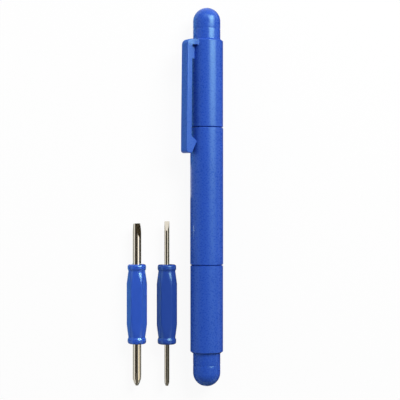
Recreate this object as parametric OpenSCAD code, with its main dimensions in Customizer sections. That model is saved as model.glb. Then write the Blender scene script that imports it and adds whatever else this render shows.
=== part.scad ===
// Pocket screwdriver: a pen-shaped holder with a pull-off cap at each end, and two reversible
// drivers lying beside it, each slotted at one end and cross-pointed at the other.
// The pen lies along Y with its clip end at +Y, and everything rests on z = 0. Millimetres.

/* [Barrel] */
// Outside diameter of the barrel
barrel_d = 12.1; // [11.8:0.1:14]
// Length of the barrel between its two seams
barrel_len = 50.4; // [46:0.1:70]
// Length of the spigot that each cap slides over
spigot_len = 12; // [8:0.5:14]
// How deep a seam's groove is at the outside
seam_depth = 0.5; // [0.3:0.05:0.65]
// Width of the bevel on each side of a seam
seam_bevel = 0.2; // [0.1:0.05:0.5]

/* [Caps] */
// Outside diameter of the cap tubes
cap_d = 12; // [11.8:0.1:14]
// Length of each cap tube
cap_len = 32.2; // [28:0.1:40]
// How far the bevel at the end of a cap tube cuts in, round the dome
shoulder_bevel = 0.8; // [0.3:0.05:0.85]
// Length of that bevel along the tube
shoulder_len = 0.6; // [0.3:0.05:1]
// Diameter of the domed end plugs
dome_d = 10; // [9.6:0.1:10.1]
// How far the dome stands out of the clip cap
clip_dome_out = 11.7; // [8:0.1:16]
// How far the dome stands out of the plain cap
plain_dome_out = 12.2; // [8:0.1:16]
// How deep the skirt of a dome sits in its tube
dome_skirt = 5; // [3:0.5:8]
// Wall of the domes
dome_wall = 1; // [0.6:0.1:1.6]

/* [Pocket clip] */
// Angle of the clip above the side of the pen
clip_angle = 34; // [15:1:60]
// Length of the clip, from its arm to its free end
clip_len = 41.5; // [36:0.5:60]
// Width of the clip's bar
clip_w = 4.1; // [3.6:0.1:5.2]
// Thickness of the clip's bar
clip_t = 2.1; // [1.2:0.1:2.4]
// Gap between the bar and the cap tube
clip_gap = 1.6; // [1.2:0.1:3]
// Thickness of the arm that carries the bar
arm_t = 2.1; // [1.4:0.1:4]
// Width of the arm where it meets the cap
arm_w = 5.8; // [5.2:0.1:6]
// Width of the web under the arm
web_w = 1.8; // [1.2:0.1:3.4]
// How far the web reaches below the arm
web_len = 5; // [3:0.5:9]

/* [Drivers] */
// Distance across the flats of the hexagonal grips
grip_af = 6.45; // [5.8:0.05:6.5]
// Length of the grips
grip_len = 29.4; // [24:0.2:32]
// Diameter of the round collars at the ends of a grip
collar_d = 6.8; // [6.5:0.05:6.9]
// Diameter of the necks beside the collars
neck_d = 6.25; // [5.4:0.05:6.3]
// Diameter of the thick shaft
thick_d = 3.2; // [2.6:0.1:3.6]
// Slotted end of the thick shaft, out of its grip
thick_slot_out = 15.1; // [12:0.1:17]
// Cross end of the thick shaft, out of its grip
thick_cross_out = 15.4; // [12:0.1:17]
// Diameter of the thin shaft
thin_d = 1.8; // [1.6:0.1:2.6]
// Slotted end of the thin shaft, out of its grip
thin_slot_out = 16; // [12:0.1:17]
// Cross end of the thin shaft, out of its grip
thin_cross_out = 15.4; // [12:0.1:17]

/* [Layout] */
// Distance from the pen's axis to the thick driver's axis
thick_aside = 25.8; // [24:0.1:60]
// Distance from the pen's axis to the thin driver's axis
thin_aside = 14.7; // [14.2:0.1:17]
// How far the thick grip's middle lies below the barrel's middle
thick_below = 39.8; // [20:0.1:60]
// How far the thin grip's middle lies below the barrel's middle
thin_below = 39.9; // [20:0.1:60]

/* [Hidden] */
$fn = 96;

// Clearances: a dome in its tube, a tube over a dome, a tube on its spigot, a grip in its socket,
// a shaft in its grip, the faces of a seam, the catch over the barrel, and the tips that meet inside
plug_gap = 0.02;
post_gap = 0.02;
spigot_gap = 0.05;
socket_gap = 0.05;
shaft_gap = 0.02;
seam_gap = 0.1;
catch_gap = 0.1;
tip_gap = 0.4;
// One overrun for every cut
over = 1;

// Barrel and sockets
lead = 0.4;
relief_depth = 0.15;
relief_len = spigot_len / 3;
tip_bore_d = 5;
barrel_r = barrel_d / 2;
barrel_end = barrel_len / 2;
spigot_end = barrel_end + spigot_len;
cap_bore_r = dome_d / 2 + post_gap;
spigot_r = cap_bore_r - spigot_gap;
socket_af = max(collar_d, grip_af) + 2 * socket_gap;
socket_floor = max(thick_slot_out, thick_cross_out, thin_slot_out, thin_cross_out) + tip_gap / 2;

// Caps
cap_r = cap_d / 2;
mouth_bevel = 0.15;
dome_step = 0.2;
skirt_lead = 0.3;
dome_r = dome_d / 2;
skirt_r = dome_r - dome_step;
plug_bore_r = skirt_r + plug_gap;
dome_in_r = skirt_r - dome_wall;
cap_start = barrel_end + seam_gap;
cap_end = cap_start + cap_len;

// Clip, measured out from the pen's axis and down from the top of its arm
seat_rise = 0.15;
seat_root = 0.8;
foot_u = cap_r + seat_rise;
bar_in_u = cap_r + clip_gap;
bar_out_u = bar_in_u + clip_t;
bar_splay = 0.4;
clip_drop = 0.3;
clip_top = cap_end - clip_drop;
crown_r = clip_t;
heel_r = clip_t / 2;
catch_u = barrel_r + catch_gap;
catch_nose_r = 0.5;
catch_low_share = 0.1;
catch_peak = 4.2;
catch_ramp_up = 2.1;

// Grips
collar_t = 1.3;
collar_round = 0.5;
neck_at = 2.5;
flare_len = 4.4;
flare_steps = 10;
corner_ease = 0.055;
flat_r = grip_af / 2;
collar_r = collar_d / 2;
neck_r = neck_d / 2;
grip_r = flat_r / cos(30) - corner_ease;
wing_out = 0.5;
wing_t = 0.8;
wing_len = 6;

// Slotted tips: the length of the ground flats, the thickness left at the tip and its twist
thick_slot_len = 5.4;
thick_slot_t = 0.6;
thick_slot_turn = 60;
thin_slot_len = 3.5;
thin_slot_t = 0.4;
thin_slot_turn = 0;
// Cross tips: the length of the flutes and the taper, and the radii of the core and the point
thick_flute_len = 5;
thick_taper_len = 2.4;
thick_core_r = 0.42;
thick_point_r = 0.5;
thin_flute_len = 3.2;
thin_taper_len = 1;
thin_core_r = 0.25;
thin_point_r = 0.55;
shoulder_share = 0.42;
shoulder_r_share = 0.7;

// Layout
thick_low = thick_below + grip_len / 2 + thick_cross_out;
thin_low = thin_below + grip_len / 2 + thin_cross_out;
pen_low = cap_end + plain_dome_out;
pen_high = cap_end + clip_dome_out;
pen_y = (max(pen_low, thick_low, thin_low) - pen_high) / 2;
pen_z = max(barrel_r, cap_r);
pen_x = (thick_aside + grip_r - pen_z) / 2;
driver_z = max(collar_r, flat_r);

// Points of an arc, in equal steps from one angle to the other
function arc(x, y, r, from, to, steps = 8) = [
    for (i = [0 : steps]) let (a = from + (to - from) * i / steps) [x + r * cos(a), y + r * sin(a)]
];

// A half outline and its mirror image below, as one outline
function both_ways(half) = concat(
    [for (i = [len(half) - 1 : -1 : 0]) [half[i].x, -half[i].y]],
    half
);

// A smooth step from 0 to 1
function ease(t) = (1 - cos(180 * t)) / 2;

// Lays a shape built along +Z on the pen's axis, with +Z turned to +Y
module on_pen() {
    translate([pen_x, pen_y, pen_z])
        rotate([-90, 0, 0])
            children();
}

// Lays a shape built along +Z beside the pen, at a driver's place
module on_driver(aside, below) {
    translate([pen_x - aside, pen_y - below, driver_z])
        rotate([-90, 0, 0])
            children();
}

// Turns a shape built out along +X to the side of the pen where the clip is
module at_clip() {
    rotate(180 + clip_angle)
        children();
}

// The barrel's outline, with a relieved spigot at each end
module barrel_outline() {
    polygon(both_ways([
        [barrel_r, barrel_end - seam_bevel],
        [barrel_r - seam_depth, barrel_end],
        [spigot_r, barrel_end],
        [spigot_r, barrel_end + relief_len],
        [spigot_r - relief_depth, barrel_end + relief_len + relief_depth],
        [spigot_r - relief_depth, spigot_end - relief_len - relief_depth],
        [spigot_r, spigot_end - relief_len],
        [spigot_r, spigot_end - lead],
        [spigot_r - lead, spigot_end],
        [0, spigot_end]
    ]));
}

// A hexagonal hole with flats above and below, and a funnel at its mouth
module driver_socket() {
    translate([0, 0, socket_floor])
        linear_extrude(spigot_end + over - socket_floor)
            circle(d = socket_af / cos(30), $fn = 6);
    translate([0, 0, spigot_end - lead])
        cylinder(h = 2 * lead, r1 = socket_af / 2, r2 = socket_af / 2 + 2 * lead);
}

module barrel() {
    color("#2f58b8")
        on_pen()
            difference() {
                rotate_extrude()
                    barrel_outline();
                for (side = [0, 1])
                    mirror([0, 0, side])
                        driver_socket();
                cylinder(d = tip_bore_d, h = 2 * socket_floor + over, center = true);
            }
}

// The tube of a cap: a wide bore for the spigot and a narrower one for the skirt of the dome
module cap_tube() {
    plug_low = cap_len - dome_skirt - over;
    translate([0, 0, cap_start])
        rotate_extrude()
            polygon([
                [cap_bore_r + mouth_bevel, 0],
                [cap_r - seam_depth, 0],
                [cap_r, seam_bevel],
                [cap_r, cap_len - shoulder_len],
                [cap_r - shoulder_bevel, cap_len],
                [plug_bore_r, cap_len],
                [plug_bore_r, plug_low],
                [cap_bore_r, plug_low - dome_step],
                [cap_bore_r, mouth_bevel]
            ]);
}

// A thimble with a round end: its skirt sits in the tube and its step stands on the tube's end
module dome_plug(out) {
    straight = out - dome_r;
    translate([0, 0, cap_end])
        rotate_extrude()
            difference() {
                union() {
                    polygon([
                        [0, -dome_skirt],
                        [skirt_r - skirt_lead, -dome_skirt],
                        [skirt_r, skirt_lead - dome_skirt],
                        [skirt_r, 0],
                        [dome_r, 0],
                        [dome_r, straight],
                        [0, straight]
                    ]);
                    translate([0, straight])
                        half_disc(dome_r);
                }
                translate([0, -dome_skirt - over])
                    square([dome_in_r, dome_skirt + over + straight]);
                translate([0, straight])
                    half_disc(dome_in_r);
            }
}

// The half of a circle that lies at +X
module half_disc(r) {
    intersection() {
        circle(r);
        translate([0, -r])
            square([r, 2 * r]);
    }
}

// The flat seat on the clip cap: a wide land under the arm and a narrow one under the web
module clip_seat() {
    seat_t = seat_rise + seat_root;
    at_clip() {
        translate([foot_u - seat_t, -arm_w / 2, clip_top - arm_t])
            cube([seat_t, arm_w, arm_t]);
        translate([foot_u - seat_t, -web_w / 2, clip_top - arm_t - web_len])
            cube([seat_t, web_w, web_len + arm_t]);
    }
}

module clip_cap_sleeve() {
    color("#2f58b4")
        on_pen()
            union() {
                cap_tube();
                clip_seat();
            }
}

module clip_cap_dome() {
    color("#3560c4")
        on_pen()
            dome_plug(clip_dome_out);
}

module plain_cap_sleeve() {
    color("#2f58b4")
        on_pen()
            mirror([0, 0, 1])
                cap_tube();
}

module plain_cap_dome() {
    color("#3560c4")
        on_pen()
            mirror([0, 0, 1])
                dome_plug(plain_dome_out);
}

// Side outline of the clip's bar and catch: out from the pen's axis, and down from the arm's top
module bar_outline() {
    low = -clip_len;
    peak = low + catch_peak;
    end_in_u = bar_in_u + bar_splay;
    end_out_u = bar_out_u + bar_splay;
    polygon(concat(
        [[bar_in_u, 0]],
        arc(bar_out_u - crown_r, -crown_r, crown_r, 90, 0),
        arc(end_out_u - heel_r, low + heel_r, heel_r, 0, -90),
        [[end_in_u - clip_gap * catch_low_share, low]],
        arc(catch_u + catch_nose_r, peak, catch_nose_r, 245, 135),
        [[end_in_u, peak + catch_ramp_up]]
    ));
}

// The arm as seen from the clip's end, widening toward the cap
module arm_plan() {
    polygon([
        [foot_u, -arm_w / 2],
        [bar_in_u, -clip_w / 2],
        [bar_in_u + clip_t / 2, -clip_w / 2],
        [bar_in_u + clip_t / 2, clip_w / 2],
        [bar_in_u, clip_w / 2],
        [foot_u, arm_w / 2]
    ]);
}

module pocket_clip() {
    web_depth = bar_in_u + clip_t / 2 - foot_u;
    color("#3a68c4")
        on_pen()
            translate([0, 0, clip_top])
                at_clip()
                    union() {
                        rotate([90, 0, 0])
                            linear_extrude(clip_w, center = true)
                                bar_outline();
                        translate([0, 0, -arm_t])
                            linear_extrude(arm_t)
                                arm_plan();
                        translate([foot_u, -web_w / 2, -arm_t - web_len])
                            cube([web_depth, web_w, web_len + arm_t / 2]);
                    }
}

// A grip's outline: round, swelling from its necks, with a rolled collar at each end
module grip_outline() {
    end = grip_len / 2;
    neck = end - neck_at;
    steps = [for (i = [0 : flare_steps]) i / flare_steps];
    flare = [for (t = steps) [grip_r + (neck_r - grip_r) * ease(t), neck - flare_len * (1 - t)]];
    roll = [for (t = steps) [neck_r + (collar_r - neck_r) * ease(t), neck + (neck_at - collar_t) * t]];
    polygon(both_ways(concat(
        flare,
        [for (i = [1 : flare_steps]) roll[i]],
        arc(collar_r - collar_round, end - collar_round, collar_round, 0, 90),
        [[0, end]]
    )));
}

// The pressed wings that keep a shaft from turning in its grip
module wings(shaft_d, gap) {
    cube([shaft_d + 2 * wing_out + 2 * gap, wing_t + 2 * gap, wing_len + 2 * gap], center = true);
}

// A round sleeve with six ground flats that run out at its necks
module driver_grip(shaft_d) {
    flat_span = grip_len - 2 * neck_at;
    difference() {
        rotate_extrude()
            grip_outline();
        for (side = [0 : 5])
            rotate(30 + 60 * side)
                translate([flat_r, -grip_r, -flat_span / 2])
                    cube([grip_r, 2 * grip_r, flat_span]);
        cylinder(d = shaft_d + 2 * shaft_gap, h = grip_len + over, center = true);
        wings(shaft_d, shaft_gap);
    }
}

// Cuts the two flats of a slotted tip that ends at z = 0 and points up
module slot_cuts(shaft_d, flat_len, tip_t, turn) {
    lean = atan((shaft_d - tip_t) / 2 / flat_len);
    for (side = [0, 180])
        rotate(turn + 90 + side)
            translate([tip_t / 2, 0, 0])
                rotate([0, -lean, 0])
                    translate([0, -shaft_d, -2 * flat_len])
                        cube([shaft_d, 2 * shaft_d, 3 * flat_len]);
}

// The tapered end of a cross tip that ends at z = 0 and points down
module cross_taper(shaft_d, taper_len, point_r) {
    rotate_extrude()
        polygon([
            [0, 0],
            [point_r, 0],
            [shaft_d / 2 * shoulder_r_share, taper_len * shoulder_share],
            [shaft_d / 2, taper_len],
            [0, taper_len]
        ]);
}

// Cuts the four flutes of a cross tip that ends at z = 0 and points down
module flute_cuts(shaft_d, flute_len, core_r) {
    lean = atan((shaft_d / 2 - core_r) / flute_len);
    for (side = [0 : 3])
        rotate(90 * side)
            translate([core_r, 0, 0])
                rotate([0, lean, 0])
                    rotate(-45)
                        translate([0, 0, -flute_len])
                            cube([shaft_d, shaft_d, 3 * flute_len]);
}

// A shaft with its slotted tip up and its cross tip down, and the grip's middle at z = 0
module blade(shaft_d, slot_out, cross_out, slot_len, slot_t, slot_turn, flute_len, taper_len, core_r, point_r) {
    top = grip_len / 2 + slot_out;
    low = -grip_len / 2 - cross_out;
    difference() {
        union() {
            translate([0, 0, low + taper_len])
                cylinder(d = shaft_d, h = top - low - taper_len);
            translate([0, 0, low])
                cross_taper(shaft_d, taper_len, point_r);
            wings(shaft_d, 0);
        }
        translate([0, 0, top])
            slot_cuts(shaft_d, slot_len, slot_t, slot_turn);
        translate([0, 0, low])
            flute_cuts(shaft_d, flute_len, core_r);
    }
}

module thick_blade() {
    color("#c9c6bd")
        on_driver(thick_aside, thick_below)
            blade(thick_d, thick_slot_out, thick_cross_out, thick_slot_len, thick_slot_t,
                thick_slot_turn, thick_flute_len, thick_taper_len, thick_core_r, thick_point_r);
}

module thick_grip() {
    color("#3257b9")
        on_driver(thick_aside, thick_below)
            driver_grip(thick_d);
}

module thin_blade() {
    color("#c9c6bd")
        on_driver(thin_aside, thin_below)
            blade(thin_d, thin_slot_out, thin_cross_out, thin_slot_len, thin_slot_t,
                thin_slot_turn, thin_flute_len, thin_taper_len, thin_core_r, thin_point_r);
}

module thin_grip() {
    color("#2a4a9c")
        on_driver(thin_aside, thin_below)
            driver_grip(thin_d);
}

barrel();
clip_cap_sleeve();
clip_cap_dome();
pocket_clip();
plain_cap_sleeve();
plain_cap_dome();
thick_blade();
thick_grip();
thin_blade();
thin_grip();
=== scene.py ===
# Looks of a pocket screwdriver: a pen-shaped holder with a pull-off cap at each end, and its two
# reversible drivers lying beside it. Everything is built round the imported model, in its own frame.

import math

import bmesh
import bpy
from mathutils import Matrix, Vector


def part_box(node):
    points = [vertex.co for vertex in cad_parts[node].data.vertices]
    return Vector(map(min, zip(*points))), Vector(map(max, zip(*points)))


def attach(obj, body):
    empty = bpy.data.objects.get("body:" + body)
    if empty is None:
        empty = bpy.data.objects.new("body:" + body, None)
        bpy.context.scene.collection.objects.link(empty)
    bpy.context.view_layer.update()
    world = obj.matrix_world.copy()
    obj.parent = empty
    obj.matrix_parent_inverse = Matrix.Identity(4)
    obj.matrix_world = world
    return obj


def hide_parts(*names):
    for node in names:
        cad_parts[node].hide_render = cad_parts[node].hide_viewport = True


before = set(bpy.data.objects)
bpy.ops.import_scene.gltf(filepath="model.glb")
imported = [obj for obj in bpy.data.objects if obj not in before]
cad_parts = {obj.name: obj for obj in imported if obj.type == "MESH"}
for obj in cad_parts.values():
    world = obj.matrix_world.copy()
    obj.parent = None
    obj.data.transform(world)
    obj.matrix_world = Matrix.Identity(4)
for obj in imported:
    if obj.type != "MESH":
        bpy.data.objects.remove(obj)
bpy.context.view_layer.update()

# The camera hangs straight above the layout, a little more than 0.4 m away, with the pen upright in
# the picture and right of its middle. Lengths here and below are in mm.
MM = 0.001
VIEW_ACROSS = 147.0
VIEW_HEIGHT = 430.0
VIEW_MIDDLE = (9.255, -0.953, 6.05)
SENSOR_WIDTH = 36

camera_data = bpy.data.cameras.new("camera")
camera_data.sensor_width = SENSOR_WIDTH
camera_data.lens = SENSOR_WIDTH * VIEW_HEIGHT / VIEW_ACROSS
camera_data.clip_start = 10 * MM
camera = bpy.data.objects.new("camera", camera_data)
camera.location = Vector(VIEW_MIDDLE) * MM + Vector((0, 0, VIEW_HEIGHT * MM))
bpy.context.scene.collection.objects.link(camera)
bpy.context.scene.camera = camera


# The barrel is the middle tube of the pen, moulded in blue ABS. Each end steps down to a spigot that
# a cap slides over, and holds a hexagonal socket where a driver's grip is kept. The two halves of
# its mould leave a fine line along each side.
BARREL_R = 6.05
BARREL_END = 25.2
SEAM_BEVEL = 0.2
SEAM_DEPTH = 0.5
SEAM_ROUND = 0.4
EDGE_ROUND = 0.05
SPIGOT_R = 4.97
SPIGOT_END = 37.2
SPIGOT_LEAD = 0.4
SPIGOT_RELIEF = 0.15
SPIGOT_BAND = 4.0
SPIGOT_ROUND = 0.1
SOCKET_ACROSS = 6.9
SOCKET_FLOOR = 16.2
TIP_BORE_R = 2.5
MOULD_LINE_HIGH = 0.035
# These two and all angles round the pen are in degrees.
MOULD_LINE_AT = 126
MOULD_LINE_WIDE = 0.9

ROUND_ANGLES = [2.5 * step for step in range(144)]
BARREL_ANGLES = sorted(ROUND_ANGLES + [
    MOULD_LINE_AT + side + MOULD_LINE_WIDE * step for side in (0, 180) for step in (-1, -0.4, 0.4, 1)
])

pen_low, pen_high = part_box("barrel")
PEN = (pen_low + pen_high) / 2 / MM


def rounded(corners, steps=4):
    """The outline through these corners, each (radius, along, rounding) in mm. A rounding takes up
    less than half of each side beside it, however large it is."""
    outline = []
    for number, (radius, along, rounding) in enumerate(corners):
        here = Vector((radius, along))
        if not rounding:
            outline.append((radius, along))
            continue
        back = Vector(corners[number - 1][:2]) - here
        ahead = Vector(corners[(number + 1) % len(corners)][:2]) - here
        reach = rounding / math.tan(back.angle(ahead) / 2)
        start = here + back.normalized() * min(reach, 0.48 * back.length)
        end = here + ahead.normalized() * min(reach, 0.48 * ahead.length)
        for step in range(steps + 1):
            share = step / steps
            point = start * (1 - share) ** 2 + here * 2 * share * (1 - share) + end * share ** 2
            outline.append((point.x, point.y))
    return outline


def ring_solid(rings, centre, angles, side=1):
    """A solid of rings round an axis along Y. A ring is (radius, along) in mm, where the radius may be
    a function of the angle in degrees, and may have as many angles of its own. The solid closes on
    itself, or at two points on the axis."""
    mesh = bmesh.new()
    loops = []
    for radius, along, *own in rings:
        loop = []
        for angle in angles[:1] if radius == 0 else (own or [angles])[0]:
            out = radius(angle) if callable(radius) else radius
            turn = math.radians(angle)
            place = Vector((out * math.cos(turn), side * along, out * math.sin(turn)))
            loop.append(mesh.verts.new((Vector(centre) + place) * MM))
        loops.append(loop)
    ahead = loops[1:] if rings[0][0] == 0 else loops[1:] + loops[:1]
    for near, far in zip(loops, ahead):
        for step in range(len(angles)):
            after = (step + 1) % len(angles)
            corners = [near[step % len(near)], near[after % len(near)],
                       far[after % len(far)], far[step % len(far)]]
            mesh.faces.new(dict.fromkeys(corners))
    return mesh


def as_piece(mesh, name, material, body, node, crisp=38):
    """Makes the mesh one named piece that stands for a node and moves with its body. Edges that
    turn more than the crisp angle show as edges, and the rest are shaded as one round surface."""
    bmesh.ops.recalc_face_normals(mesh, faces=mesh.faces)
    data = bpy.data.meshes.new(name)
    mesh.to_mesh(data)
    mesh.free()
    data.materials.append(material)
    data.shade_smooth()
    data.set_sharp_from_angle(angle=math.radians(crisp))
    piece = bpy.data.objects.new(name, data)
    bpy.context.scene.collection.objects.link(piece)
    flats = piece.modifiers.new("flats stay flat", "WEIGHTED_NORMAL")
    flats.keep_sharp = True
    flats.weight = 100
    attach(piece, body)
    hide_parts(node)
    return piece


def hexagon(across):
    """The radius of a hexagon with a flat above and below, at each angle."""
    return lambda angle: across / 2 / math.cos(math.radians((angle - 60) % 60 - 30))


def linear(hex_colour):
    """A colour written as on screen, such as "2f58b4", turned to the renderer's linear values."""
    shares = [int(hex_colour[at:at + 2], 16) / 255 for at in (0, 2, 4)]
    return (*[s / 12.92 if s <= 0.04045 else ((s + 0.055) / 1.055) ** 2.4 for s in shares], 1)


def add_node(tree, kind, inputs=(), **settings):
    """Adds a node with its settings. An input is a value, or the output that it is linked to."""
    made = tree.nodes.new("ShaderNode" + kind)
    for name, value in settings.items():
        setattr(made, name, value)
    for socket, value in dict(inputs).items():
        if isinstance(value, bpy.types.NodeSocket):
            tree.links.new(value, made.inputs[socket])
        else:
            made.inputs[socket].default_value = value
    return made


def moulded_plastic(name, colour, pale, roughness, mottle, grain, depth):
    """Injection-moulded plastic. Its skin copies the mould's: pits this wide and deep in mm, which
    break its highlights into a soft mottle, and a paler shade where the plastic flowed together.
    Real pits are nearer 0.1 mm wide, and are drawn wider here so that they show."""
    flow_wide = 14
    material = bpy.data.materials.new(name)
    material.use_nodes = True
    tree = material.node_tree
    tree.nodes.clear()
    place = add_node(tree, "TexCoord").outputs["Object"]
    pits = add_node(tree, "TexNoise", {
        "Vector": place, "Scale": 1 / (grain * MM), "Detail": 3, "Roughness": 0.6})
    flow = add_node(tree, "TexNoise", {
        "Vector": place, "Scale": 1 / (flow_wide * MM), "Detail": 2, "Roughness": 0.5})
    speckle = add_node(tree, "MapRange", {
        "Value": pits.outputs["Fac"], "From Min": 0.35, "From Max": 0.65,
        "To Min": 0.26, "To Max": 0.4})
    shade = add_node(tree, "MapRange", {
        "Value": flow.outputs["Fac"], "From Min": 0.3, "From Max": 0.7, "To Min": 0, "To Max": 0.3})
    both = add_node(tree, "Math", {0: speckle.outputs["Result"], 1: shade.outputs["Result"]},
                    operation="ADD")
    tint = add_node(tree, "Mix", {
        "Factor": both.outputs["Value"], 6: linear(colour), 7: linear(pale)}, data_type="RGBA")
    gloss = add_node(tree, "MapRange", {
        "Value": pits.outputs["Fac"], "From Min": 0.3, "From Max": 0.7,
        "To Min": roughness - mottle, "To Max": roughness + mottle})
    relief = add_node(tree, "Bump", {
        "Height": pits.outputs["Fac"], "Strength": 1.0, "Distance": depth * MM})
    surface = add_node(tree, "BsdfPrincipled", {
        "Base Color": tint.outputs[2], "Roughness": gloss.outputs["Result"],
        "IOR": 1.54, "Specular Tint": linear("c0fff0"), "Normal": relief.outputs["Normal"]})
    add_node(tree, "OutputMaterial", {"Surface": surface.outputs["BSDF"]})
    return material


def mould_line(radius):
    """A round outline that rises a hair at the two lines where the halves of the mould met."""
    def out(angle):
        off = min(abs((angle - MOULD_LINE_AT - side + 180) % 360 - 180) for side in (0, 180))
        return radius + MOULD_LINE_HIGH * max(0, 1 - (off / MOULD_LINE_WIDE) ** 2)
    return out


# Spark-eroded ABS: the rough skin of the mould spreads each highlight into a broad, grainy band.
pen_abs = moulded_plastic("spark-eroded blue ABS", "254cb2", "2f58c4",
                          roughness=0.31, mottle=0.13, grain=0.6, depth=0.014)

half_barrel = [
    (BARREL_R, BARREL_END - SEAM_BEVEL, SEAM_ROUND),
    (BARREL_R - SEAM_DEPTH, BARREL_END, EDGE_ROUND),
    (SPIGOT_R, BARREL_END, 0),
    (SPIGOT_R, BARREL_END + SPIGOT_BAND, SPIGOT_ROUND),
    (SPIGOT_R - SPIGOT_RELIEF, BARREL_END + SPIGOT_BAND + SPIGOT_RELIEF, SPIGOT_ROUND),
    (SPIGOT_R - SPIGOT_RELIEF, SPIGOT_END - SPIGOT_BAND - SPIGOT_RELIEF, SPIGOT_ROUND),
    (SPIGOT_R, SPIGOT_END - SPIGOT_BAND, SPIGOT_ROUND),
    (SPIGOT_R, SPIGOT_END - SPIGOT_LEAD, SPIGOT_ROUND),
    (SPIGOT_R - SPIGOT_LEAD, SPIGOT_END, SPIGOT_ROUND),
]
barrel_skin = rounded([(r, -a, soft) for r, a, soft in reversed(half_barrel)] + half_barrel)
# The mould lines run along the full radius, and end where its edges start to round off.
barrel_skin = [(mould_line(r) if r > BARREL_R - 0.01 else r, a) for r, a in barrel_skin]
socket = hexagon(SOCKET_ACROSS)


def socket_mouth(share):
    """The hexagonal hole where its funnel is this share of the way out."""
    return lambda angle: max(socket(angle), SOCKET_ACROSS / 2 + SPIGOT_LEAD * share)


half_socket = [
    (socket_mouth(1), SPIGOT_END),
    (socket_mouth(0.5), SPIGOT_END - SPIGOT_LEAD / 2),
    (socket_mouth(0), SPIGOT_END - SPIGOT_LEAD),
    (socket, SOCKET_FLOOR),
    (TIP_BORE_R, SOCKET_FLOOR),
]
barrel_hole = half_socket + [(r, -a) for r, a in reversed(half_socket)]
as_piece(ring_solid(barrel_skin + barrel_hole, PEN, BARREL_ANGLES),
         "barrel_tube", pen_abs, "barrel", "barrel")


# Each cap has a tube of the same matte ABS, open at the seam and bored wide for the spigot. Both of
# its outer edges are bevelled, which makes the grooves between the pen's parts. The clip cap's tube
# carries a flat seat for the clip.
CAP_R = 6.0
CAP_LEN = 32.2
CAP_START = 25.3
CAP_END = CAP_START + CAP_LEN
CAP_BORE_R = 5.02
PLUG_BORE_R = 4.82
PLUG_FLOOR = CAP_LEN - 6
PLUG_FUNNEL = 0.2
SHOULDER_BEVEL = 0.8
SHOULDER_LEN = 0.6
SHOULDER_ROUND = 0.2
RIM_ROUND = 0.1
MOUTH_BEVEL = 0.15
MOUTH_ROUND = 0.12
CLIP_ANGLE = 146
CLIP_TOP = CAP_END - 0.3
FOOT_U = 6.15
ARM_T = 2.1
ARM_W = 5.8
WEB_W = 1.8
WEB_LEN = 5
SEAT_DEEP = 0.95


def at_clip(out, across, down):
    """A point of the clip: out from the pen's axis, across the clip, and down from its arm's top,
    which is 0 at the top and negative below it."""
    turn = math.radians(CLIP_ANGLE)
    outward = Vector((math.cos(turn), 0, math.sin(turn)))
    sideways = Vector((math.sin(turn), 0, -math.cos(turn)))
    return (PEN + outward * out + sideways * across + Vector((0, CLIP_TOP + down, 0))) * MM


def add_block(mesh, low, high):
    """Adds a block at the clip, between two corners given as (out, across, down)."""
    picks = [(x, y, z) for x in (0, 1) for y in (0, 1) for z in (0, 1)]
    corner = {p: mesh.verts.new(at_clip(*[(low, high)[p[i]][i] for i in range(3)])) for p in picks}
    for axis in range(3):
        for end in (0, 1):
            loop = []
            for first, second in ((0, 0), (0, 1), (1, 1), (1, 0)):
                pick = [first, second]
                pick.insert(axis, end)
                loop.append(corner[tuple(pick)])
            mesh.faces.new(loop)


def cap_tube(name, side, body, node):
    """A cap's tube, at the clip's end of the pen with side 1 and at the plain end with side -1."""
    outline = rounded([
        (CAP_R - SEAM_DEPTH, 0, EDGE_ROUND),
        (CAP_R, SEAM_BEVEL, MOUTH_ROUND),
        (CAP_R, CAP_LEN - SHOULDER_LEN, SHOULDER_ROUND),
        (CAP_R - SHOULDER_BEVEL, CAP_LEN, RIM_ROUND),
        (PLUG_BORE_R, CAP_LEN, 0),
        (PLUG_BORE_R, PLUG_FLOOR, 0),
        (CAP_BORE_R, PLUG_FLOOR - PLUG_FUNNEL, 0),
        (CAP_BORE_R, MOUTH_BEVEL, 0),
        (CAP_BORE_R + MOUTH_BEVEL, 0, 0),
    ])
    mesh = ring_solid([(r, CAP_START + a) for r, a in outline], PEN, ROUND_ANGLES, side)
    if side > 0:
        add_block(mesh, (FOOT_U - SEAT_DEEP, -ARM_W / 2, -ARM_T), (FOOT_U, ARM_W / 2, 0))
        add_block(mesh, (FOOT_U - SEAT_DEEP, -WEB_W / 2, -ARM_T - WEB_LEN), (FOOT_U, WEB_W / 2, 0))
    as_piece(mesh, name, pen_abs, body, node)


cap_tube("clip_cap_tube", 1, "clip_cap", "clip_cap_sleeve")
cap_tube("plain_cap_tube", -1, "plain_cap", "plain_cap_sleeve")


# A round-ended plug of polished ABS closes each cap. Its skirt is pressed into the tube and its step
# stands on the tube's end. The mould for its round end met the one for its wall in a fine ring.
CLIP_DOME_OUT = 11.7
PLAIN_DOME_OUT = 12.2
DOME_R = 5.0
DOME_EDGE_ROUND = 0.08
DOME_SKIRT = 5
DOME_SKIRT_R = 4.8
DOME_SKIRT_LEAD = 0.3
DOME_BORE_R = 3.8
DOME_RING_AT = 7.8
DOME_RING_DEEP = 0.15
DOME_RING_WIDE = 0.25
DOME_RING_FLOOR = 0.02
DOME_STEPS = 18


def quarter(radius, from_end):
    """A quarter circle from the axis out, or back in, as (radius, along) from its own middle."""
    turns = [math.pi / 2 * step / DOME_STEPS for step in range(DOME_STEPS + 1)]
    points = [(radius * math.sin(turn), radius * math.cos(turn)) for turn in turns]
    points[0] = (0, radius)
    return points if from_end else points[::-1]


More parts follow.
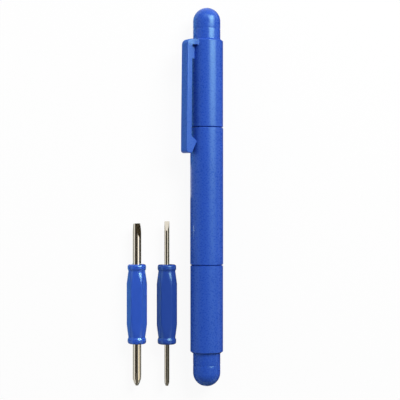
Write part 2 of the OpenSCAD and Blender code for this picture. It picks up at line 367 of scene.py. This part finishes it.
def dome_plug(name, side, out, body, node):
    """A hollow plug that stands this far out of its tube."""
    straight = out - DOME_R
    ring = out - DOME_RING_AT
    wall = rounded([
        (DOME_R, straight, 0),
        (DOME_R, ring + DOME_RING_WIDE, 0),
        (DOME_R - DOME_RING_DEEP, ring + DOME_RING_FLOOR, 0),
        (DOME_R - DOME_RING_DEEP, ring - DOME_RING_FLOOR, 0),
        (DOME_R, ring - DOME_RING_WIDE, 0),
        (DOME_R, 0, DOME_EDGE_ROUND),
        (DOME_SKIRT_R, 0, 0),
        (DOME_SKIRT_R, DOME_SKIRT_LEAD - DOME_SKIRT, 0),
        (DOME_SKIRT_R - DOME_SKIRT_LEAD, -DOME_SKIRT, 0),
        (DOME_BORE_R, -DOME_SKIRT, 0),
    ])
    outside = [(r, straight + a) for r, a in quarter(DOME_R, True)]
    inside = [(r, straight + a) for r, a in quarter(DOME_BORE_R, False)]
    rings = [(r, CAP_END + a) for r, a in outside + wall[1:] + inside]
    as_piece(ring_solid(rings, PEN, ROUND_ANGLES, side), name, dome_abs, body, node)


# Polished ABS: shallower, wider pits, so the highlight on a dome is brighter and smoother.
dome_abs = moulded_plastic("polished blue ABS", "254cb2", "2f58c4",
                           roughness=0.28, mottle=0.12, grain=0.8, depth=0.007)
dome_plug("clip_cap_plug", 1, CLIP_DOME_OUT, "clip_cap", "clip_cap_dome")
dome_plug("plain_cap_plug", -1, PLAIN_DOME_OUT, "plain_cap", "plain_cap_dome")


# The pocket clip is moulded with its cap: a springy bar on an arm that a thin web braces, with a
# catch near its free end that presses cloth against the barrel. Its long edges are rounded.
CLIP_LEN = 41.5
CLIP_HALF = 2.05
CLIP_T = 2.1
BAR_IN_U = 7.6
BAR_SPLAY = 0.4
BAR_LEAST_T = 0.2
ARM_EASE = 0.1
ARM_FILLET = 0.3
HEEL_R = 1.05
HEEL_IN = 0.15
CATCH_U = 6.15
CATCH_PEAK = 4.2
CATCH_NOSE = 0.5
CATCH_SIDE_U = 5.7
CATCH_RAMP = 2.1
RAMP_EASE = 0.2
LAST_SPLAY = 0.02
EDGE_OUT = 0.4
EDGE_IN = 0.15
EDGE_END = 0.25
CORNER_STEPS = 4


def bar_in(down):
    """How far the inside of the bar is from the pen's axis, at a distance down from the top."""
    return BAR_IN_U + BAR_SPLAY * -down / CLIP_LEN


def clip_loop(down, inner, outer):
    """The clip's section at one height, with rounded corners and its ends' edges eased. Its inner
    side is wide at the arm's foot, and at the catch it is hollowed to the curve of the barrel."""
    near_end = min(-down, CLIP_LEN + down)
    ease = max(0, EDGE_END - near_end)
    narrow = EDGE_END - math.sqrt(EDGE_END ** 2 - ease ** 2)
    foot = CLIP_HALF + (ARM_W / 2 - CLIP_HALF) * max(0, (BAR_IN_U - inner) / (BAR_IN_U - FOOT_U))
    if -down > ARM_T:
        foot = CLIP_HALF
    middle = max(inner + BAR_LEAST_T, min(BAR_IN_U, outer - BAR_LEAST_T))
    # The two points nearest the middle let the hollow bend.
    half = [(inner, (foot - narrow) * 0.3, 0), (inner, (foot - narrow) * 0.65, 0),
            (inner, foot - narrow, EDGE_IN), (middle, CLIP_HALF - narrow, 0),
            (outer, CLIP_HALF - narrow, EDGE_OUT)]
    corners = half + [(out, -across, soft) for out, across, soft in reversed(half)]
    section = [(max(out, math.sqrt(CATCH_U ** 2 - across ** 2)), across)
               for out, across in rounded(corners, CORNER_STEPS)]
    return [at_clip(out, across, down) for out, across in section]


# The clip from its side, as (down, inner, outer) for each section: the round crown, the arm, the bar
# to the catch's ramp and nose, and the rounded heel.
crown = [math.radians(90 - 7.5 * step) for step in range(13)]
clip_side = [(CLIP_T * (math.sin(a) - 1), FOOT_U, BAR_IN_U + CLIP_T * math.cos(a)) for a in crown]
clip_side += [
    (-ARM_T + ARM_EASE, FOOT_U, BAR_IN_U + CLIP_T),
    (-ARM_T, FOOT_U + ARM_EASE, BAR_IN_U + CLIP_T),
    (-ARM_T, BAR_IN_U - ARM_FILLET, BAR_IN_U + CLIP_T),
    (-ARM_T - ARM_FILLET / 3, BAR_IN_U - ARM_FILLET / 3, BAR_IN_U + CLIP_T),
    (-ARM_T - ARM_FILLET, BAR_IN_U, BAR_IN_U + CLIP_T),
]
peak = CATCH_PEAK - CLIP_LEN
ramp_top = peak + CATCH_RAMP
end_in = bar_in(-CLIP_LEN)
end_out = end_in + CLIP_T
# The bar bends softly into the ramp, in three small steps inwards.
catch = [(ramp_top + RAMP_EASE, bar_in(peak) - 0.01), (ramp_top, end_in - 0.06),
         (ramp_top - RAMP_EASE, end_in - 0.24)]
nose_turns = [math.radians(degrees) for degrees in range(135, 246, 11)]
catch += [(peak + CATCH_NOSE * math.sin(a), CATCH_SIDE_U + CATCH_NOSE + CATCH_NOSE * math.cos(a))
          for a in nose_turns]
clip_side += [(down, inner, end_out - LAST_SPLAY) for down, inner in catch]
low_nose, low_nose_in = catch[-1]
for a in [math.radians(-9 * step) for step in range(11)]:
    down = HEEL_R - CLIP_LEN + HEEL_R * math.sin(a)
    share = (down - low_nose) / (-CLIP_LEN - low_nose)
    clip_side.append((down, low_nose_in + (end_in - HEEL_IN - low_nose_in) * share,
                      end_out - HEEL_R + HEEL_R * math.cos(a)))

clip_mesh = bmesh.new()
clip_loops = [[clip_mesh.verts.new(point) for point in clip_loop(*spot)] for spot in clip_side]
for near, far in zip(clip_loops, clip_loops[1:]):
    for step in range(len(near)):
        clip_mesh.faces.new((near[step - 1], near[step], far[step], far[step - 1]))
clip_mesh.faces.new(clip_loops[0])
clip_mesh.faces.new(clip_loops[-1][::-1])
add_block(clip_mesh, (FOOT_U, -WEB_W / 2, -ARM_T - WEB_LEN), (BAR_IN_U + CLIP_T / 2, WEB_W / 2, -ARM_T / 2))
# Satin ABS: the finest pits, which give the clip an even, silky shine.
clip_abs = moulded_plastic("satin blue ABS", "254cb2", "2f58c4",
                           roughness=0.33, mottle=0.12, grain=0.35, depth=0.012)
as_piece(clip_mesh, "spring_clip", clip_abs, "pocket_clip", "pocket_clip")


# A driver's blade is one drawn steel rod, ground to a slotted tip at its upper end and to a cross
# tip with four flutes at its lower end, then nickel plated all over.
THICK_SHAFT = 3.2
THIN_SHAFT = 1.8
GRIP_LEN = 29.4
BLADE_ANGLES = [3.75 * step for step in range(96)]
TIP_BEVEL = 0.12
FLUTE_STEPS = 30
FLUTE_COLUMNS = 20
# The cross tip's nose cone takes up this share of its taper, and is this share of the shaft wide.
NOSE_SHARE = 0.42
NOSE_WIDE = 0.7


def nickel_plate(name, colour, roughness):
    """Bright nickel on drawn steel: mirror-like, slightly warm, with faint lines along the rod. The
    lines are drawn 0.12 mm wide, a little coarser than real ones, so that they show."""
    line_wide = 0.12
    cloud_wide = 2.5
    material = bpy.data.materials.new(name)
    material.use_nodes = True
    tree = material.node_tree
    tree.nodes.clear()
    place = add_node(tree, "TexCoord").outputs["Object"]
    stretched = add_node(tree, "Mapping", {"Vector": place, "Scale": (1, 0.02, 1)})
    lines = add_node(tree, "TexNoise", {
        "Vector": stretched.outputs["Vector"], "Scale": 1 / (line_wide * MM), "Detail": 2})
    cloud = add_node(tree, "TexNoise", {"Vector": place, "Scale": 1 / (cloud_wide * MM), "Detail": 3})
    gloss = add_node(tree, "MapRange", {
        "Value": cloud.outputs["Fac"], "From Min": 0.3, "From Max": 0.7,
        "To Min": roughness - 0.04, "To Max": roughness + 0.04})
    relief = add_node(tree, "Bump", {
        "Height": lines.outputs["Fac"], "Strength": 0.5, "Distance": 0.0006 * MM})
    surface = add_node(tree, "BsdfPrincipled", {
        "Base Color": linear(colour), "Metallic": 1.0, "Roughness": gloss.outputs["Result"],
        "Normal": relief.outputs["Normal"]})
    add_node(tree, "OutputMaterial", {"Surface": surface.outputs["BSDF"]})
    return material


def fluted_ring(core, round_r):
    """A round section with four V-shaped flutes, whose edges lie where they leave its rim."""
    half = math.degrees(math.acos(min(1, core / round_r) / math.sqrt(2))) - 45
    flute = [half * share for share in (-1, -0.5, 0, 0.5)]
    prong = [half + (90 - 2 * half) * step / FLUTE_COLUMNS for step in range(FLUTE_COLUMNS)]

    def out(angle):
        turn = math.radians((angle + 45) % 90 - 45)
        return min(round_r, core / max(math.cos(turn) - abs(math.sin(turn)), 0.01))
    return out, [90 * corner + angle for corner in range(4) for angle in flute + prong]


def blade(name, grip_node, body, node, *, size, slot_out, slot_len, slot_t, slot_turn,
          cross_out, flute_len, taper_len, core_r, point_r):
    """A rod of this diameter. Its slotted tip stands out above its grip, with a ground length and
    thickness and a turn in degrees. Its cross tip stands out below, with flutes round a core and a
    taper to a blunt point."""
    low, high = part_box(grip_node)
    centre = (low + high) / 2 / MM
    radius = size / 2
    top = GRIP_LEN / 2 + slot_out
    bottom = GRIP_LEN / 2 + cross_out
    nose = NOSE_SHARE * taper_len

    # The plain rod starts a little past the ground tips, so that their edges stay free of its rings.
    rings = [(0, top), (radius - TIP_BEVEL, top), (radius, top - TIP_BEVEL),
             (radius, top - slot_len * 1.04), (radius, flute_len * 1.05 - bottom)]
    for step in range(FLUTE_STEPS + 1):
        above = flute_len * 0.99 * (1 - step / FLUTE_STEPS)
        if above < nose:
            round_r = point_r + (NOSE_WIDE * radius - point_r) * above / nose
        else:
            round_r = radius * (NOSE_WIDE + (1 - NOSE_WIDE) * min(1, (above - nose) / (taper_len - nose)))
        out, angles = fluted_ring(core_r + (radius - core_r) * above / flute_len, round_r)
        rings.append((out, above - bottom, angles))
    rings.append((0, -bottom))
    mesh = ring_solid(rings, centre, BLADE_ANGLES)

    turn = math.radians(slot_turn)
    for side in (1, -1):
        facing = Vector((math.cos(turn), 0, math.sin(turn))) * side
        cut = bmesh.ops.bisect_plane(
            mesh, geom=mesh.verts[:] + mesh.edges[:] + mesh.faces[:], dist=1e-7, clear_outer=True,
            plane_co=(centre + facing * slot_t / 2 + Vector((0, top, 0))) * MM,
            plane_no=facing * slot_len + Vector((0, radius - slot_t / 2, 0)))
        rim = [part for part in cut["geom_cut"] if isinstance(part, bmesh.types.BMEdge)]
        bmesh.ops.holes_fill(mesh, edges=rim)
    return as_piece(mesh, name, plate, body, node, crisp=10)


plate = nickel_plate("nickel-plated steel", "dcd5c6", 0.1)
thick_rod = blade(
    "thick_rod", "thick_grip", "thick_driver", "thick_blade", size=THICK_SHAFT,
    slot_out=15.1, slot_len=5.4, slot_t=0.6, slot_turn=36,
    cross_out=15.4, flute_len=5, taper_len=2.4, core_r=0.42, point_r=0.5)
thin_rod = blade(
    "thin_rod", "thin_grip", "thin_driver", "thin_blade", size=THIN_SHAFT,
    slot_out=16, slot_len=3.5, slot_t=0.4, slot_turn=90,
    cross_out=15.4, flute_len=3.2, taper_len=1, core_r=0.25, point_r=0.55)


# Each blade is held in a glossy hexagonal grip, moulded round it in a polished mould. Its six flats
# run out in the swelling at its necks, and a rolled collar ends it.
GRIP_ACROSS = 6.6
GRIP_R = 3.8
GRIP_EDGE = 0.2
FLARE_LEN = 4.7
FLARE_ROUND = 1.4
SWELL_R = 3.46
SWELL_AT = 2.4
SWELL_ROUND = 1
HOLLOW_R = 3.26
HOLLOW_AT = 0.9
HOLLOW_ROUND = 0.5
NECK_R = 3.12
NECK_AT = 2.5
FLARE_STEPS = 8
COLLAR_R = 3.43
COLLAR_T = 1.55
COLLAR_ROUND = 0.75
COLLAR_STEPS = 16
ROLL_STEPS = 8
LIP_WIDE = 0.15
LIP_GAP = 0.03
LIP_DEEP = 0.12


def eased(share):
    """The share from 0 to 1 that a curve has risen, slow at its start and its end."""
    return (1 - math.cos(math.pi * share)) / 2


def soft_min(first, second, blend):
    """The smaller of two radii, with the edge between them rounded off."""
    near = max(blend - abs(first - second), 0) / blend
    return min(first, second) - near * near * blend / 4


def grip(name, size, plastic, body, node):
    """A sleeve round a shaft of this diameter, the same at both ends, with a fine lip at its hole."""
    end = GRIP_LEN / 2
    neck = end - NECK_AT
    half = rounded([
        (GRIP_R, 0, 0), (GRIP_R, neck - FLARE_LEN, FLARE_ROUND), (SWELL_R, neck - SWELL_AT, SWELL_ROUND),
        (HOLLOW_R, neck - HOLLOW_AT, HOLLOW_ROUND), (NECK_R, neck, 0)], FLARE_STEPS)
    for step in range(1, COLLAR_STEPS + 1):
        share = step / COLLAR_STEPS
        half.append((NECK_R + (COLLAR_R - NECK_R) * eased(share), neck + (NECK_AT - COLLAR_T) * share))
    for step in range(ROLL_STEPS + 1):
        turn = math.pi / 2 * step / ROLL_STEPS
        half.append((COLLAR_R - COLLAR_ROUND + COLLAR_ROUND * math.cos(turn),
                     end - COLLAR_ROUND + COLLAR_ROUND * math.sin(turn)))
    half += [(size / 2 + LIP_WIDE, end), (size / 2 + LIP_GAP, end - LIP_DEEP)]
    flats = hexagon(GRIP_ACROSS)

    def with_flats(radius, along):
        if along > neck:
            return radius
        return lambda angle: soft_min(radius, flats(angle), GRIP_EDGE)

    shaped = [(with_flats(r, a), a) for r, a in half]
    rings = [(r, -a) for r, a in reversed(shaped[1:])] + shaped
    low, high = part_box(node)
    return as_piece(ring_solid(rings, (low + high) / 2 / MM, ROUND_ANGLES),
                    name, plastic, body, node)


# Glossy acetate from a polished mould: highlights with clear edges, on a surface that is only a
# little wavy. The thin driver's grip is darker and slightly duller than the thick one's.
thick_acetate = moulded_plastic("glossy blue acetate", "3057c0", "365dca",
                                roughness=0.13, mottle=0.02, grain=1.5, depth=0.001)
thin_acetate = moulded_plastic("glossy dark blue acetate", "26469e", "2c4ca6",
                               roughness=0.22, mottle=0.02, grain=1.5, depth=0.001)
thick_sleeve = grip("thick_sleeve", THICK_SHAFT, thick_acetate, "thick_driver", "thick_grip")
thin_sleeve = grip("thin_sleeve", THIN_SHAFT, thin_acetate, "thin_driver", "thin_grip")


# The layout lies on a plain table of matt white paper. The table looks white by itself and where it
# is mirrored in the object, and keeps the object's shadow.
TABLE_HALF = 2000
TABLE_Z = -0.02
TABLE_GLOW = 0.93


def flat_piece(name, low, high, material):
    """A flat sheet of the studio, between two opposite corners in mm. It isn't part of the object."""
    data = bpy.data.meshes.new(name)
    corners = [low, (high[0], low[1], high[2]), high, (low[0], high[1], low[2])]
    data.from_pydata([(Vector(corner) * MM)[:] for corner in corners], [], [(0, 1, 2, 3)])
    data.materials.append(material)
    sheet = bpy.data.objects.new(name, data)
    bpy.context.scene.collection.objects.link(sheet)
    return sheet


white = bpy.data.materials.new("matt white paper")
white.use_nodes = True
tree = white.node_tree
tree.nodes.clear()
rays = add_node(tree, "LightPath").outputs
mirrored = add_node(tree, "Math", {0: rays["Is Camera Ray"], 1: rays["Is Glossy Ray"]},
                    operation="MAXIMUM")
seen = add_node(tree, "Math", {0: mirrored.outputs["Value"], 1: rays["Is Transmission Ray"]},
                operation="MAXIMUM")
share = add_node(tree, "Math", {0: seen.outputs["Value"], 1: TABLE_GLOW}, operation="MULTIPLY")
matt = add_node(tree, "BsdfDiffuse", {"Color": linear("efefef")})
glow = add_node(tree, "Emission", {"Color": (1, 1, 1, 1), "Strength": 1.0})
total = add_node(tree, "MixShader", {
    0: share.outputs["Value"], 1: matt.outputs["BSDF"], 2: glow.outputs["Emission"]})
add_node(tree, "OutputMaterial", {"Surface": total.outputs["Shader"]})
flat_piece("table", (-TABLE_HALF, -TABLE_HALF, TABLE_Z), (TABLE_HALF, TABLE_HALF, TABLE_Z), white)


# A large softbox beyond the upper right gives the long soft highlight, and a key light, a fill and a
# softbox beyond the pen's end light the colour. Four reflectors give the drivers' bright metal its
# pale lines, and one more softbox is for the highlight at the thick grip's neck.
drivers = bpy.data.collections.new("drivers")
for piece in (thick_rod, thin_rod, thick_sleeve, thin_sleeve):
    drivers.objects.link(piece)
thick_grip_alone = bpy.data.collections.new("thick grip alone")
thick_grip_alone.objects.link(thick_sleeve)


def soft_light(name, place, size, brightness, target=(0, 0, 0), lights=True, shows=True, on=None,
               colour="ffffff"):
    """A softbox at this place in mm that faces the target, with its size along the pen and round
    it and the brightness of its face. It may only light the object, only show in its gloss, or
    fall on a few of the pieces alone."""
    data = bpy.data.lights.new(name, "AREA")
    data.shape = "RECTANGLE"
    data.size = size[0] * MM
    data.size_y = size[1] * MM
    data.energy = brightness * math.pi * data.size * data.size_y
    data.color = linear(colour)[:3]
    lamp = bpy.data.objects.new(name, data)
    back = (Vector(place) - Vector(target)).normalized()
    round_pen = back.cross(Vector((0, 1, 0))).normalized()
    turned = Matrix((round_pen.cross(back), round_pen, back)).transposed()
    lamp.matrix_world = Matrix.LocRotScale(Vector(place) * MM, turned.to_quaternion(), None)
    lamp.visible_diffuse = lights
    lamp.visible_glossy = shows
    lamp.light_linking.receiver_collection = on
    bpy.context.scene.collection.objects.link(lamp)


soft_light("softbox_right", (746, 535, 772), (800, 900), 9.6, lights=False)
soft_light("softbox_on_thick_grip", (746, 535, 772), (800, 900), 40, lights=False, on=thick_grip_alone)
soft_light("key_right", (300, 350, 420), (300, 300), 12.8, shows=False)
soft_light("fill_left", (-420, 60, 170), (400, 200), 2.4, shows=False)
soft_light("softbox_end", (0, 420, 300), (200, 340), 1.8)
for name, place, size, brightness, target, colour in (
        ("right", (268, 20, 274), (190, 200), 1.4, (0, 20, 6), "fffcf6"),
        ("low_right", (334, -262, 207), (335, 230), 1.3, (0, -262, 6), "fff4da"),
        ("left", (-400, -150, 190), (700, 200), 0.85, (0, -150, 0), "ffffff"),
        ("over_tip", (-3, 188, 500), (110, 120), 0.85, (-3, -10, 4), "ffffff")):
    soft_light("reflector_" + name, place, size, brightness, target, lights=False, on=drivers, colour=colour)


# Cards and felt lie on the table and stand by the drivers, and one sheet hangs above. The camera
# never sees them: they only show as they are mirrored in the object, where they give the gloss and
# the bright metal their dark, blue and pale lines.
CARD_Z = -0.01
NEAR_END = -75
FAR_END = 75


def card_cloth(name, colour):
    """Dyed card or felt, with a matt face that mirrors nothing."""
    material = bpy.data.materials.new(name)
    material.use_nodes = True
    tree = material.node_tree
    tree.nodes.clear()
    matt = add_node(tree, "BsdfDiffuse", {"Color": linear(colour)})
    add_node(tree, "OutputMaterial", {"Surface": matt.outputs["BSDF"]})
    return material


felt = card_cloth("dark felt", "4b4435")
grey = card_cloth("grey card", "7a949c")
pale = card_cloth("pale green card", "d8fff0")
blue = card_cloth("blue card", "84ccee")
stone = card_cloth("stone card", "c8c2b4")
brown = card_cloth("brown card", "6a6a5c")
thick_low, thick_high = (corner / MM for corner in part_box("thick_grip"))
thin_low, thin_high = (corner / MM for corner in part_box("thin_grip"))
thick_x = (thick_low.x + thick_high.x) / 2
thin_x = (thin_low.x + thin_high.x) / 2
right_of_drivers = thin_x + 4.5

flat_cards = [
    ("by_thick_tip", (thick_x, thick_high.y), (thin_x - 3, 12), felt),
    ("by_thin_tip", (thin_x, thin_high.y), (right_of_drivers, 0), felt),
    ("by_thick_point", (thick_x, NEAR_END), (thin_x - 3, thick_low.y), felt),
    ("by_thin_point", (thin_x, NEAR_END), (right_of_drivers, thin_low.y), felt),
    ("left_of_thick", (thick_x - 14, thick_low.y), (thick_x, thick_high.y), blue),
    ("between_grips", (thick_x, thick_low.y), (thin_x, thick_high.y), pale),
    ("right_of_thin", (thin_x, thin_low.y), (right_of_drivers, thin_high.y), grey),
    ("left_of_pen", (right_of_drivers, NEAR_END), (PEN.x - 2, 0), grey),
    ("left_of_clip", (PEN.x - 60, 12), (PEN.x - 8, FAR_END), blue),
    ("far_left", (PEN.x - 150, NEAR_END), (thick_x - 14, 12), grey),
    ("right_of_pen", (PEN.x, NEAR_END), (PEN.x + 60, FAR_END), felt),
    ("below_pen", (PEN.x - 60, NEAR_END - 50), (PEN.x + 60, NEAR_END), grey),
]
cards = [flat_piece("card_" + name, (*low, CARD_Z), (*high, CARD_Z), cloth)
         for name, low, high, cloth in flat_cards]
cards.append(flat_piece("card_above", (-480, -300, 500), (50, 130, 500), felt))

standing_cards = [
    ("by_point", NEAR_END, thin_low.y, 1.6, 6, brown),
    ("by_tip", thin_high.y, 0, 4.5, 6.5, brown),
    ("left_of_tip", thin_high.y, 0, -2, 4.4, stone),
    ("right_of_thick_tip", thin_high.y, 0, -2.4, 4.4, felt),
    ("between_grips", thin_low.y, thin_high.y, -4.5, 5, pale),
    ("right_of_thin", thin_low.y, thin_high.y, 4.5, 5.5, pale),
    ("left_of_pen", NEAR_END, 0, 4.7, 8, grey),
]
for name, start, end, aside, tall, cloth in standing_cards:
    x = thin_x + aside
    cards.append(flat_piece("standing_card_" + name, (x, start, 0), (x, end, tall), cloth))
for card in cards:
    card.visible_camera = False
    card.visible_diffuse = False
    card.visible_shadow = False


# The room round the table is plain and dim. Its even light softens the shadows, and the pale table
# and its colours are shown as they are written.
ROOM_LIGHT = 0.21

world = bpy.data.worlds.new("studio")
bpy.context.scene.world = world
world.use_nodes = True
world.node_tree.nodes.clear()
room = add_node(world.node_tree, "Background", {"Color": (1, 1, 1, 1), "Strength": ROOM_LIGHT})
add_node(world.node_tree, "OutputWorld", {"Surface": room.outputs["Background"]})
bpy.context.scene.view_settings.view_transform = "Standard"
